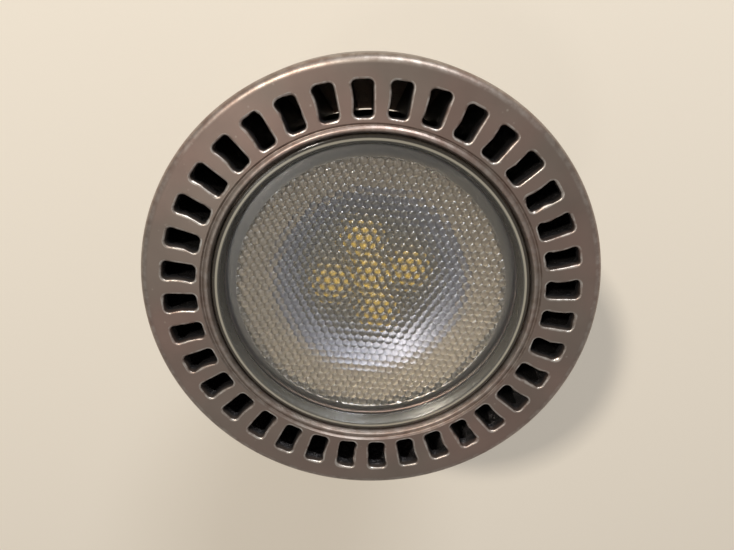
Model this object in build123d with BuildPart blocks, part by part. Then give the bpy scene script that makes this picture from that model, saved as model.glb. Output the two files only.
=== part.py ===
"""LED spotlight bulb: a 50 mm twist-and-lock reflector lamp with a vented die-cast heat sink.

The lamp stands on its two contact pins. +Z runs along the lamp's axis towards the lens,
the origin is on that axis at the pin ends, and the two pins lie along X. Millimetres.
"""

import os

from build123d import *

# Overall form
lamp_length = 54.5
rim_radius = 25.0
rim_height = 5.0
lip_radius = 0.9
shell_wall = 1.3
shell_height = 20.0
shell_edge_radius = 18.9
neck_radius = 13.0
neck_height = 2.2
neck_step = 0.5

# Vented front ring
ring_thickness = 1.6
slot_count = 36
slot_phase = 1.78
slot_inner_radius = 19.0
slot_outer_radius = 22.6
slot_inner_width = 2.0
slot_outer_width = 2.3
slot_waist = 0.35
slot_corner = 0.5

# Fins
fin_thickness = 1.4
fin_inset = 0.2

# Hub with the lens recess and the light chamber
hub_radius = 18.4
recess_radius = 17.5
recess_depth = 3.0
recess_chamfer = 0.4
chamber_radius = 16.3
chamber_depth = 8.5
floor_thickness = 3.0
cavity_radius = 11.4
hub_flare_height = 5.0
hub_skirt = 1.0

# Lens
lens_clearance = 0.15
lens_rim_drop = 0.5
lens_rim_width = 0.75
lens_bevel_width = 0.4
lens_plate = 1.1
lens_margin = 1.3
lens_field_step = 0.15

# Light board
pad_thickness = 0.2
pad_radius = 9.0
board_thickness = 1.1
board_radius = 14.6
led_count = 4
led_offset = 4.6
led_phase = 10.0
led_side = 3.4
led_height = 0.8
phosphor_radius = 1.3
phosphor_depth = 0.35
phosphor_crown = 0.15
phosphor_clearance = 0.02

# Reflector
reflector_mouth_radius = 8.6
reflector_stub = 0.9
reflector_step_radius = 11.0
reflector_step_height = 2.7
reflector_wall = 0.6
reflector_rim_clearance = 0.2
reflector_lens_gap = 0.2

# Board screws
screw_offset = 12.0
screw_phase = 45.0
screw_shank_radius = 1.2
screw_head_radius = 1.8
screw_head_height = 1.3
screw_length = 3.6
screw_clearance = 0.05
screw_tip_gap = 0.3
screw_drive_width = 0.6
screw_drive_depth = 0.6

# Contact pins
pin_spacing = 10.0
pin_length = 7.0
pin_head_radius = 2.5
pin_head_height = 3.0
pin_neck_radius = 1.6
pin_chamfer = 0.4
pin_collar_radius = 2.2
pin_collar_height = 0.6
pin_shank_radius = 1.3
pin_tail = 2.0
pin_clearance = 0.05

# Base housing
base_length = 17.0
base_width = 11.5
base_block_height = 10.5
base_shoulder_height = 3.0
base_flange_height = 1.5
base_wall = 1.2
base_floor = 2.0
base_edge = 0.8
collar_height = 4.0
collar_wall = 1.2
collar_clearance = 0.1

# Driver cup
cup_wall = 0.8
cup_clearance = 0.1
rail_width = 1.2
rail_depth = 1.2
rail_clearance = 0.1
rail_end_gap = 1.5

# Driver board and what it carries
driver_thickness = 1.0
driver_width = 18.4
driver_offset = -0.5
driver_tail_width = 11.0
driver_tail_start = 14.0
driver_end_gap = 0.3
part_gap = 0.05
capacitor_radius = 3.9
capacitor_height = 11.0
capacitor_groove = 0.3
core_radius = 3.7
core_height = 8.0
core_waist_radius = 1.9
core_flange = 1.2
winding_radius = 3.3
film_length = 7.0
film_width = 4.2
film_height = 4.6
resistor_radius = 1.2
resistor_length = 6.0
chip_length = 4.9
chip_width = 3.9
chip_height = 1.4
chip_leg = 0.4
chip_leg_reach = 1.0
chip_legs = 4
chip_rise = 2.75
bridge_length = 4.6
bridge_width = 3.8
bridge_height = 1.6
bridge_legs = 2

# Leads
lead_radius = 0.35
lead_spacing = 18.8
lead_hole_clearance = 0.15
lead_stub = 0.5
lead_lap = 5.0
mains_lead_radius = 0.45
mains_lead_length = 6.0

# Heights that follow from the sizes above
face_z = lamp_length
ring_under_z = face_z - ring_thickness
recess_z = face_z - recess_depth
chamber_z = face_z - chamber_depth
cavity_top_z = chamber_z - floor_thickness
base_z = pin_length
base_shoulder_z = base_z + base_block_height
base_flange_z = base_shoulder_z + base_shoulder_height
neck_z = base_flange_z + base_flange_height
board_under_z = chamber_z + pad_thickness
board_top_z = board_under_z + board_thickness
shell_edge_z = face_z - shell_height
rim_low_z = face_z - rim_height
fin_low_z = neck_z + neck_height
fin_low_radius = neck_radius + neck_step
fin_phase = slot_phase + 180.0 / slot_count
driver_back = driver_offset - driver_thickness
lead_y = driver_back - part_gap - lead_radius

os.makedirs("parts", exist_ok=True)


def save(builder, name):
    """Label a finished piece and write it under its own name."""
    builder.part.label = name
    export_step(builder.part, f"parts/{name}.step")


# The reflector-shaped envelope: an arc from under the rim, through the shell's edge, to the neck
with BuildLine(Plane.XZ) as envelope:
    ThreePointArc((rim_radius, rim_low_z), (shell_edge_radius, shell_edge_z), (fin_low_radius, fin_low_z))
envelope_arc = envelope.edge()


def envelope_point(share, inset=0.0):
    """A point (radius, height) on the envelope, moved inwards by the inset."""
    point = envelope_arc.position_at(share)
    return point.X - inset, point.Z


def shell_share():
    """How far along the envelope the shell's lower edge lies."""
    edge_point = Vector(shell_edge_radius, 0, shell_edge_z)
    return envelope_arc.param_at_point(edge_point)


# One slot outline: slanted straight side, waisted side, rounded corners
slot_length = slot_outer_radius - slot_inner_radius
slot_middle_radius = slot_inner_radius + slot_length / 2
slot_waist_half = (slot_inner_width + slot_outer_width) / 4 - slot_waist
with BuildSketch() as slot_outline:
    with BuildLine():
        Line((slot_inner_radius, -slot_inner_width / 2), (slot_outer_radius, -slot_outer_width / 2))
        Line((slot_outer_radius, -slot_outer_width / 2), (slot_outer_radius, slot_outer_width / 2))
        ThreePointArc(
            (slot_outer_radius, slot_outer_width / 2),
            (slot_middle_radius, slot_waist_half),
            (slot_inner_radius, slot_inner_width / 2),
        )
        Line((slot_inner_radius, slot_inner_width / 2), (slot_inner_radius, -slot_inner_width / 2))
    make_face()
    fillet(slot_outline.vertices(), radius=slot_corner)

# One fin, cut to the envelope on the outside and running into the hub on the inside
with BuildPart() as fin:
    with BuildSketch(Plane.XZ):
        with BuildLine():
            fin_top = ring_under_z + ring_thickness / 2
            fin_edge_top = (rim_radius - fin_inset, rim_low_z)
            fin_root = (cavity_radius + neck_radius) / 2
            fin_edge_middle = envelope_point(shell_share(), fin_inset)
            fin_edge_low = envelope_point(1, fin_inset)
            ThreePointArc(fin_edge_top, fin_edge_middle, fin_edge_low)
            Polyline(
                fin_edge_low,
                (fin_root, fin_low_z - neck_step),
                (fin_root, cavity_top_z),
                (hub_radius - shell_wall / 2, chamber_z),
                (hub_radius - shell_wall / 2, fin_top),
                (rim_radius - shell_wall / 2, fin_top),
                (rim_radius - shell_wall / 2, rim_low_z),
                fin_edge_top,
            )
        make_face()
    extrude(amount=fin_thickness / 2, both=True)

# Hole patterns that go through the light board's stack
with BuildSketch() as lead_holes:
    with Locations((0, lead_y)):
        with GridLocations(lead_spacing, 1, 2, 1):
            Circle(lead_radius + lead_hole_clearance)
with BuildSketch() as screw_holes:
    with PolarLocations(screw_offset, 2, start_angle=screw_phase):
        Circle(screw_shank_radius + screw_clearance)

# Heat sink: front ring, outer shell, hub and neck turned in one profile, then fins and slots
shell_inner_radius = rim_radius - shell_wall
shell_middle = envelope_point(shell_share() / 2)
hub_flare_z = cavity_top_z - hub_skirt - hub_flare_height
with BuildPart() as heat_sink:
    with BuildSketch(Plane.XZ):
        with BuildLine():
            Polyline(
                (cavity_radius, neck_z),
                (neck_radius, neck_z),
                (neck_radius, hub_flare_z),
            )
            Line((neck_radius, hub_flare_z), (hub_radius, hub_flare_z + hub_flare_height))
            Polyline(
                (hub_radius, hub_flare_z + hub_flare_height),
                (hub_radius, ring_under_z),
                (shell_inner_radius, ring_under_z),
                (shell_inner_radius, rim_low_z),
            )
            ThreePointArc(
                (shell_inner_radius, rim_low_z),
                (shell_middle[0] - shell_wall, shell_middle[1]),
                (shell_edge_radius - shell_wall, shell_edge_z),
            )
            Line((shell_edge_radius - shell_wall, shell_edge_z), (shell_edge_radius, shell_edge_z))
            ThreePointArc((shell_edge_radius, shell_edge_z), shell_middle, (rim_radius, rim_low_z))
            Line((rim_radius, rim_low_z), (rim_radius, face_z - lip_radius))
            RadiusArc(
                (rim_radius, face_z - lip_radius),
                (rim_radius - lip_radius, face_z),
                -lip_radius,
            )
            Polyline(
                (rim_radius - lip_radius, face_z),
                (recess_radius + recess_chamfer, face_z),
                (recess_radius, face_z - recess_chamfer),
                (recess_radius, recess_z),
                (chamber_radius, recess_z),
                (chamber_radius, chamber_z),
                (0, chamber_z),
                (0, cavity_top_z),
                (cavity_radius, cavity_top_z),
                (cavity_radius, neck_z),
            )
        make_face()
    revolve(axis=Axis.Z)
    with PolarLocations(0, slot_count, start_angle=fin_phase):
        add(fin.part)
    with BuildSketch(Plane.XY.offset(face_z)):
        with PolarLocations(0, slot_count, start_angle=slot_phase):
            add(slot_outline.sketch)
    extrude(amount=-ring_thickness, mode=Mode.SUBTRACT)
    with BuildSketch(Plane.XY.offset(chamber_z)):
        add(screw_holes.sketch)
    extrude(amount=-(screw_length - pad_thickness - board_thickness + screw_tip_gap), mode=Mode.SUBTRACT)
    with BuildSketch(Plane.XY.offset(chamber_z)):
        add(lead_holes.sketch)
    extrude(amount=-floor_thickness, mode=Mode.SUBTRACT)
save(heat_sink, "heat_sink")

# Lens: a raised clear rim, a bevel, a smooth margin and the pebbled field inside it
lens_radius = recess_radius - lens_clearance
lens_top_z = face_z - lens_rim_drop
lens_plate_z = recess_z + lens_plate
lens_margin_radius = lens_radius - lens_rim_width - lens_bevel_width
lens_field_radius = lens_margin_radius - lens_margin
with BuildPart() as lens:
    with BuildSketch(Plane.XZ):
        with BuildLine():
            Polyline(
                (0, recess_z),
                (lens_radius, recess_z),
                (lens_radius, lens_top_z),
                (lens_radius - lens_rim_width, lens_top_z),
                (lens_margin_radius, lens_plate_z),
                (lens_field_radius, lens_plate_z),
                (lens_field_radius - lens_field_step, lens_plate_z + lens_field_step),
                (0, lens_plate_z + lens_field_step),
                (0, recess_z),
            )
        make_face()
    revolve(axis=Axis.Z)
save(lens, "lens")

# Reflector: a collar on the board, a steep cone and a shallow cone out to the lens
reflector_radius = chamber_radius - reflector_rim_clearance
reflector_top_z = recess_z - reflector_lens_gap
reflector_step_z = board_top_z + reflector_step_height
with BuildPart() as reflector:
    with BuildSketch(Plane.XZ):
        with BuildLine():
            Polyline(
                (reflector_mouth_radius, board_top_z),
                (reflector_mouth_radius, board_top_z + reflector_stub),
                (reflector_step_radius, reflector_step_z),
                (reflector_radius - reflector_wall, reflector_top_z),
                (reflector_radius, reflector_top_z),
                (reflector_radius, reflector_top_z - reflector_wall),
                (reflector_step_radius + reflector_wall, reflector_step_z - reflector_wall),
                (reflector_mouth_radius + reflector_wall, board_top_z + reflector_stub),
                (reflector_mouth_radius + reflector_wall, board_top_z),
                (reflector_mouth_radius, board_top_z),
            )
        make_face()
    revolve(axis=Axis.Z)
save(reflector, "reflector")


# Thermal pad and light board on the chamber's floor
with BuildPart() as thermal_pad:
    with BuildSketch(Plane.XY.offset(chamber_z)):
        Circle(pad_radius)
    extrude(amount=pad_thickness)
save(thermal_pad, "thermal_pad")

with BuildPart() as led_board:
    with BuildSketch(Plane.XY.offset(board_under_z)):
        Circle(board_radius)
        add(screw_holes.sketch, mode=Mode.SUBTRACT)
        add(lead_holes.sketch, mode=Mode.SUBTRACT)
    extrude(amount=board_thickness)
save(led_board, "led_board")

# Light sources: one in the middle and the rest in a cross round it
led_places = [(0, 0)]
for led_index in range(led_count):
    led_place = Vector(led_offset, 0).rotate(Axis.Z, led_phase + led_index * 360 / led_count)
    led_places.append((led_place.X, led_place.Y))

led_top_z = board_top_z + led_height
for led_index, led_place in enumerate(led_places, start=1):
    with BuildPart() as led_package:
        with BuildSketch(Plane.XY.offset(board_top_z)):
            with Locations(Location((*led_place, 0), (0, 0, led_phase))):
                Rectangle(led_side, led_side)
        extrude(amount=led_height)
        with BuildSketch(Plane.XY.offset(led_top_z)):
            with Locations(led_place):
                Circle(phosphor_radius + phosphor_clearance)
        extrude(amount=-phosphor_depth, mode=Mode.SUBTRACT)
    save(led_package, f"led_package_{led_index}")

    with BuildPart() as led_phosphor:
        with BuildSketch(Plane.XY.offset(led_top_z - phosphor_depth)):
            with Locations(led_place):
                Circle(phosphor_radius)
        extrude(amount=phosphor_depth + phosphor_crown)
    save(led_phosphor, f"led_phosphor_{led_index}")

# Two screws that clamp the light board
with BuildPart() as board_screws:
    with BuildSketch(Plane.XY.offset(board_top_z)):
        with PolarLocations(screw_offset, 2, start_angle=screw_phase):
            Circle(screw_shank_radius)
    extrude(amount=-screw_length)
    with BuildSketch(Plane.XY.offset(board_top_z)):
        with PolarLocations(screw_offset, 2, start_angle=screw_phase):
            Circle(screw_head_radius)
    extrude(amount=screw_head_height)
    with BuildSketch(Plane.XY.offset(board_top_z + screw_head_height)):
        with PolarLocations(screw_offset, 2, start_angle=screw_phase):
            Rectangle(2 * screw_head_radius, screw_drive_width)
    extrude(amount=-screw_drive_depth, mode=Mode.SUBTRACT)
save(board_screws, "board_screws")

# Base housing: oblong pin block, shoulder, round flange and the collar inside the cup
cup_radius = cavity_radius - cup_clearance
cup_inner_radius = cup_radius - cup_wall
collar_radius = cup_inner_radius - collar_clearance
collar_inner_radius = collar_radius - collar_wall
base_floor_z = base_z + base_floor
shoulder_foot_radius = base_length / 2 + base_edge
with BuildPart() as base_housing:
    with BuildSketch(Plane.XY.offset(base_z)):
        SlotOverall(base_length, base_width)
    extrude(amount=base_block_height)
    chamfer(base_housing.faces().sort_by(Axis.Z)[0].edges(), length=base_edge)
    with BuildSketch(Plane.XZ):
        with BuildLine():
            Polyline(
                (0, base_shoulder_z),
                (shoulder_foot_radius, base_shoulder_z),
                (neck_radius, base_flange_z),
                (neck_radius, neck_z),
                (collar_radius, neck_z),
                (collar_radius, neck_z + collar_height),
                (0, neck_z + collar_height),
                (0, base_shoulder_z),
            )
        make_face()
    revolve(axis=Axis.Z)
    with BuildSketch(Plane.XY.offset(base_floor_z)):
        SlotOverall(base_length - 2 * base_wall, base_width - 2 * base_wall)
    extrude(amount=base_flange_z - base_floor_z, mode=Mode.SUBTRACT)
    with BuildSketch(Plane.XY.offset(base_flange_z)):
        Circle(collar_inner_radius)
    extrude(amount=base_flange_height + collar_height, mode=Mode.SUBTRACT)
    with BuildSketch(Plane.XY.offset(base_z)):
        with GridLocations(pin_spacing, 1, 2, 1):
            Circle(pin_shank_radius + pin_clearance)
    extrude(amount=base_floor, mode=Mode.SUBTRACT)
save(base_housing, "base_housing")

# Contact pins: mushroom head, neck, shank through the block's floor and a riveted tail inside
pin_tail_z = base_floor_z + pin_collar_height + pin_tail
for side, name in ((-1, "pin_left"), (1, "pin_right")):
    pin_x = side * pin_spacing / 2
    with BuildPart() as pin:
        with BuildSketch(Plane.XZ):
            with BuildLine():
                Polyline(
                    (pin_x, 0),
                    (pin_x + pin_head_radius - pin_chamfer, 0),
                    (pin_x + pin_head_radius, pin_chamfer),
                    (pin_x + pin_head_radius, pin_head_height - pin_chamfer),
                    (pin_x + pin_neck_radius, pin_head_height),
                    (pin_x + pin_neck_radius, base_z),
                    (pin_x + pin_shank_radius, base_z),
                    (pin_x + pin_shank_radius, base_floor_z),
                    (pin_x + pin_collar_radius, base_floor_z),
                    (pin_x + pin_collar_radius, base_floor_z + pin_collar_height),
                    (pin_x + pin_shank_radius, base_floor_z + pin_collar_height),
                    (pin_x + pin_shank_radius, pin_tail_z),
                    (pin_x, pin_tail_z),
                    (pin_x, 0),
                )
            make_face()
        revolve(axis=Axis((pin_x, 0, 0), (0, 0, 1)))
    save(pin, name)

# Driver cup: the insulating liner of the heat sink's cavity, with rails for the board
cup_top_z = cavity_top_z - cup_clearance
driver_top_z = cup_top_z - cup_wall - driver_end_gap
lead_low_z = driver_top_z - lead_lap
rail_start_z = neck_z + collar_height + driver_end_gap
rail_top_z = lead_low_z - rail_end_gap
rail_middle = driver_offset - driver_thickness / 2
with BuildPart() as driver_cup:
    with BuildSketch(Plane.XY.offset(neck_z)):
        Circle(cup_radius)
    extrude(amount=cup_top_z - neck_z)
    with BuildSketch(Plane.XY.offset(neck_z)):
        Circle(cup_inner_radius)
    extrude(amount=cup_top_z - cup_wall - neck_z, mode=Mode.SUBTRACT)
    with BuildSketch(Plane.XY.offset(rail_start_z)):
        Circle(cup_inner_radius + cup_wall / 2)
        with Locations((0, rail_middle)):
            rail_span = driver_thickness + 2 * rail_clearance + 2 * rail_width
            Rectangle(2 * cup_radius, rail_span, mode=Mode.INTERSECT)
            Rectangle(2 * cup_radius, driver_thickness + 2 * rail_clearance, mode=Mode.SUBTRACT)
        Rectangle(driver_width - 2 * rail_depth, 2 * cup_radius, mode=Mode.SUBTRACT)
    extrude(amount=rail_top_z - rail_start_z)
    with BuildSketch(Plane.XY.offset(cup_top_z)):
        add(lead_holes.sketch)
    extrude(amount=-cup_wall, mode=Mode.SUBTRACT)
save(driver_cup, "driver_cup")

# Driver board: a wide head in the cup's rails and a narrow tail in the base
with BuildPart() as driver_board:
    with BuildSketch(Plane.XZ.offset(-driver_offset)):
        with Locations((0, (rail_start_z + driver_top_z) / 2)):
            Rectangle(driver_width, driver_top_z - rail_start_z)
        with Locations((0, (driver_tail_start + rail_start_z) / 2)):
            Rectangle(driver_tail_width, rail_start_z - driver_tail_start)
    extrude(amount=driver_thickness)
save(driver_board, "driver_board")

# Tall components on the front of the driver board
head_start_z = driver_top_z - part_gap - capacitor_height
capacitor_x = -(capacitor_radius + part_gap)
capacitor_y = driver_offset + part_gap + capacitor_radius
with BuildPart() as bulk_capacitor:
    with BuildSketch(Plane.XY.offset(head_start_z)):
        with Locations((capacitor_x, capacitor_y)):
            Circle(capacitor_radius)
    extrude(amount=capacitor_height)
    capacitor_rims = bulk_capacitor.edges().filter_by(GeomType.CIRCLE)
    chamfer(capacitor_rims, length=capacitor_groove)
save(bulk_capacitor, "bulk_capacitor")

core_x = core_radius + part_gap
core_y = driver_offset + part_gap + core_radius
with BuildPart() as choke_core:
    with BuildSketch(Plane.XY.offset(head_start_z)):
        with Locations((core_x, core_y)):
            Circle(core_radius)
    extrude(amount=core_flange)
    with BuildSketch(Plane.XY.offset(head_start_z + core_flange)):
        with Locations((core_x, core_y)):
            Circle(core_waist_radius)
    extrude(amount=core_height - 2 * core_flange)
    with BuildSketch(Plane.XY.offset(head_start_z + core_height - core_flange)):
        with Locations((core_x, core_y)):
            Circle(core_radius)
    extrude(amount=core_flange)
save(choke_core, "choke_core")

with BuildPart() as choke_winding:
    with BuildSketch(Plane.XY.offset(head_start_z + core_flange + part_gap)):
        with Locations((core_x, core_y)):
            Circle(winding_radius)
            Circle(core_waist_radius + part_gap, mode=Mode.SUBTRACT)
    extrude(amount=core_height - 2 * core_flange - 2 * part_gap)
save(choke_winding, "choke_winding")

film_top_z = head_start_z - part_gap
with BuildPart() as film_capacitor:
    with BuildSketch(Plane.XZ.offset(-driver_offset)):
        with Locations((0, film_top_z - film_height / 2)):
            RectangleRounded(film_length, film_height, film_height / 8)
    extrude(amount=-film_width)
save(film_capacitor, "film_capacitor")

resistor_top_z = film_top_z - film_height - part_gap
with BuildPart() as fuse_resistor:
    with BuildSketch(Plane.XY.offset(resistor_top_z - resistor_length)):
        with Locations((0, driver_offset + part_gap + resistor_radius)):
            Circle(resistor_radius)
    extrude(amount=resistor_length)
save(fuse_resistor, "fuse_resistor")


def legged_package(length, width, height, middle_z, legs):
    """A flat component on the board's back, with a row of legs on each long side."""
    leg_pitch = length / legs
    with BuildPart() as package:
        with BuildSketch(Plane.XZ.offset(-driver_back)):
            with Locations((0, middle_z)):
                Rectangle(width, length)
        extrude(amount=height)
        with BuildSketch(Plane.XZ.offset(-driver_back)):
            with Locations((0, middle_z)):
                with GridLocations(1, leg_pitch, 1, legs):
                    Rectangle(width + 2 * chip_leg_reach, chip_leg)
        extrude(amount=height / 2)
    return package


back_upper_z = head_start_z + chip_rise
back_lower_z = film_top_z - bridge_length
driver_chip = legged_package(chip_length, chip_width, chip_height, back_upper_z, chip_legs)
save(driver_chip, "driver_chip")
bridge_rectifier = legged_package(bridge_length, bridge_width, bridge_height, back_lower_z, bridge_legs)
save(bridge_rectifier, "bridge_rectifier")

# Leads from the driver board's upper corners straight up through the floor to the light board
for side, name in ((-1, "led_lead_negative"), (1, "led_lead_positive")):
    with BuildPart() as led_lead:
        with BuildSketch(Plane.XY.offset(lead_low_z)):
            with Locations((side * lead_spacing / 2, lead_y)):
                Circle(lead_radius)
        extrude(amount=board_top_z + lead_stub - lead_low_z)
    save(led_lead, name)

# Leads from the contact pins up along the driver board's tail
for side, name in ((-1, "mains_lead_left"), (1, "mains_lead_right")):
    with BuildPart() as mains_lead:
        with BuildSketch(Plane.XY.offset(pin_tail_z)):
            with Locations((side * pin_spacing / 2, 0)):
                Circle(mains_lead_radius)
        extrude(amount=mains_lead_length)
    save(mains_lead, name)
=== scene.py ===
"""LED spotlight bulb: the looks of the lamp round its CAD frame, laid out as an add-on."""

import math

import bmesh
import bpy
from mathutils import Matrix, Vector, geometry, noise


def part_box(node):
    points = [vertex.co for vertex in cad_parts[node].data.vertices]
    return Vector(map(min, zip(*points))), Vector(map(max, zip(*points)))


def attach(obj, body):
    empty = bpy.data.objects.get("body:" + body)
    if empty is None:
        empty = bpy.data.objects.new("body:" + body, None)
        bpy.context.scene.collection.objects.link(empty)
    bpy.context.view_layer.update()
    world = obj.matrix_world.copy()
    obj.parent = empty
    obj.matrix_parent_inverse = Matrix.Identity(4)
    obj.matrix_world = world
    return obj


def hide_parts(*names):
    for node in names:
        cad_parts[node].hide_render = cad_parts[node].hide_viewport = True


bl_info = {
    "name": "LED Spotlight Bulb",
    "version": (1, 0, 0),
    "blender": (4, 5, 0),
    "location": "View3D > Sidebar > Spotlight",
    "description": "Builds the vented casting, lens, light board, base and studio of a spotlight bulb",
    "category": "Object",
}

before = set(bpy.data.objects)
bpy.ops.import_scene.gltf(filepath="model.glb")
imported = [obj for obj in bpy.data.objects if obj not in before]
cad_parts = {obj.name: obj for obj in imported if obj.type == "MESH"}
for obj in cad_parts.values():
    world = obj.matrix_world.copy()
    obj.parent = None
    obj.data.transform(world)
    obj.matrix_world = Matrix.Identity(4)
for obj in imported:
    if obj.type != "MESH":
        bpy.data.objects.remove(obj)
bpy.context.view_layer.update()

MM = 0.001
MERGE = 0.5e-6
PLASTIC_IOR = 1.49
HOLE_STEPS = 24
PIN_STEPS = 32
# From the front ring towards the key light, against the fall of the lamp's shadow
KEY_WAY = Vector((-25.3, 39.4, 54.5))
FACE_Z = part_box("heat_sink")[1].z
NECK_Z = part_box("heat_sink")[0].z
RIM_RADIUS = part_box("heat_sink")[1].y
LENS_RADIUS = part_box("lens")[1].x
LENS_TOP_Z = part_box("lens")[1].z
RECESS_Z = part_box("lens")[0].z
BOARD_TOP_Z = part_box("led_board")[1].z
PACKAGES = sorted(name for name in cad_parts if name.startswith("led_package"))
PHOSPHORS = sorted(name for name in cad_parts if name.startswith("led_phosphor"))


def length(name, description, value):
    """A length property."""
    return bpy.props.FloatProperty(
        name=name, description=description, default=value, unit="LENGTH", precision=5
    )


def degrees(name, description, value):
    """An angle property."""
    return bpy.props.FloatProperty(
        name=name, description=description, default=math.radians(value), subtype="ANGLE"
    )


def power(name, description, value):
    """The power property of a light."""
    return bpy.props.FloatProperty(name=name, description=description, default=value, unit="POWER")


def location(name, description, value):
    """A place property."""
    return bpy.props.FloatVectorProperty(
        name=name, description=description, default=value, subtype="TRANSLATION", precision=5
    )


def colour(name, description, value):
    """A colour property."""
    return bpy.props.FloatVectorProperty(
        name=name, description=description, default=value, size=3, min=0, max=1, subtype="COLOR"
    )


class VentRingSizes(bpy.types.PropertyGroup):
    """Sizes of the slotted front ring of the casting"""

    slot_count: bpy.props.IntProperty(name="Slots", description="Slots round the ring", default=36, min=12)
    slot_phase: degrees("First slot", "Angle of the first slot", 1.78)
    thickness: length("Thickness", "Thickness of the ring's plate", 1.6 * MM)
    slot_inner_radius: length("Slot start", "Radius at which a slot starts", 19.0 * MM)
    slot_outer_radius: length("Slot end", "Radius at which a slot ends", 22.6 * MM)
    slot_inner_width: length("Inner width", "Width of a slot at its start", 2.05 * MM)
    slot_outer_width: length("Outer width", "Width of a slot at its end", 2.3 * MM)
    slot_waist: length("Waist", "How far one side of a slot bows in", 0.26 * MM)
    slot_corner: length("Corner", "Radius of a slot's corners", 0.5 * MM)
    slot_edge: length("Edge", "Rounding of a slot's upper edge", 0.22 * MM)
    flash: length("Flash", "How far the slots' edges wander", 0.24 * MM)
    lip: length("Lip", "Rounding of the ring's outer edge", 0.9 * MM)


class CastingSizes(bpy.types.PropertyGroup):
    """Sizes of the casting behind the front ring"""

    shell_wall: length("Shell wall", "Wall of the outer shell", 1.3 * MM)
    rim_height: length("Rim height", "Straight outer wall of the ring", 5.0 * MM)
    shell_height: length("Shell height", "Height of the ring and shell together", 20.0 * MM)
    shell_edge_radius: length("Shell edge", "Radius of the shell's lower edge", 18.9 * MM)
    hub_radius: length("Hub", "Outer radius of the hub round the lens", 18.4 * MM)
    hub_flare: length("Hub flare", "Height of the hub's lower cone", 5.0 * MM)
    hub_skirt: length("Hub skirt", "Straight wall of the hub below the chamber's floor", 1.0 * MM)
    recess_radius: length("Recess", "Radius of the lens recess", 17.5 * MM)
    bead_width: length("Bead", "Width of the rounded bead round the lens recess", 0.80 * MM)
    groove_width: length("Groove", "Width of the groove outside the bead", 0.24 * MM)
    groove_depth: length("Groove depth", "Depth of the groove outside the bead", 0.26 * MM)
    chamber_radius: length("Chamber", "Radius of the light chamber", 16.3 * MM)
    chamber_depth: length("Chamber depth", "Depth of the chamber's floor below the face", 8.5 * MM)
    floor_thickness: length("Floor", "Thickness of the chamber's floor", 3.0 * MM)
    cavity_radius: length("Cavity", "Radius of the driver's cavity", 11.4 * MM)
    neck_radius: length("Neck", "Outer radius of the neck", 13.0 * MM)
    neck_height: length("Neck height", "Bare neck below the fins", 2.2 * MM)
    neck_step: length("Neck step", "How far the fins stand out at the neck", 0.5 * MM)
    fin_thickness: length("Fin", "Thickness of a fin", 1.4 * MM)
    fin_inset: length("Fin inset", "How far a fin's edge lies inside the envelope", 0.2 * MM)
    lead_spacing: length("Lead spacing", "Distance between the two lead holes", 18.8 * MM)
    lead_offset: length("Lead offset", "Distance of the lead holes behind the axis", 1.9 * MM)
    lead_hole: length("Lead hole", "Radius of a lead hole", 0.5 * MM)
    screw_circle: length("Screw circle", "Radius of the circle of the board screws", 12.0 * MM)
    screw_hole: length("Screw hole", "Radius of a board screw's hole", 1.25 * MM)
    screw_depth: length("Screw depth", "Depth of a board screw's hole in the floor", 2.6 * MM)


class LensSizes(bpy.types.PropertyGroup):
    """Sizes of the clear lens and its pebbled field"""

    rim_width: length("Rim", "Width of the raised rim's top", 0.75 * MM)
    bevel_width: length("Bevel", "Width of the bevel inside the rim", 0.4 * MM)
    plate: length("Plate", "Thickness of the lens plate", 1.1 * MM)
    margin: length("Margin", "Width of the smooth margin round the field", 1.3 * MM)
    pitch: length("Pebble pitch", "Distance between neighbouring pebbles", 0.87 * MM)
    crown: length("Pebble radius", "Radius of a pebble's round top", 0.62 * MM)
    pebble_turn: degrees("Pebble turn", "Turn of the pebbles' rows", -6)
    pebble_base: length("Pebble base", "Height of the valleys above the plate", 0.04 * MM)
    cell_steps: bpy.props.IntProperty(
        name="Cell steps", description="Mesh steps from a pebble's middle to its corner",
        default=4, min=2, max=5,
    )


class ReflectorSizes(bpy.types.PropertyGroup):
    """Sizes of the stepped reflector between the light board and the lens"""

    mouth_radius: length("Mouth", "Radius round the light sources", 8.6 * MM)
    stub: length("Collar", "Height of the upright collar", 0.9 * MM)
    step_radius: length("Step", "Radius where the steep cone ends", 11.0 * MM)
    step_height: length("Step height", "Height at which the steep cone ends", 2.7 * MM)
    wall: length("Wall", "Wall of the reflector", 0.6 * MM)


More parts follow.
